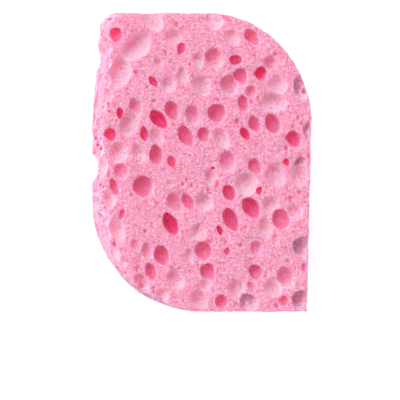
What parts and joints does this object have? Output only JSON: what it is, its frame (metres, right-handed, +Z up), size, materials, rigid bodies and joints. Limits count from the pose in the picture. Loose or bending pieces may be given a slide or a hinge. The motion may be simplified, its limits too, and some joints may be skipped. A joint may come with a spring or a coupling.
{
  "type": "cellulose sponge",
  "caption": "Flat household sponge of coarse-pored pink cellulose foam, rounded at opposite corners and square at the others, with open pores on every face.",
  "frame": {"origin": "middle of the footprint, on the flat underside", "axes": "+Z up out of the seen face, +Y along the length towards the back, +X across the width to the right"},
  "size_m": [0.0881, 0.12, 0.022],
  "materials": {
    "pink_foam": "matte"
  },
  "bodies": {
    "root": {"sponge": "pink_foam"}
  },
  "joints": []
}
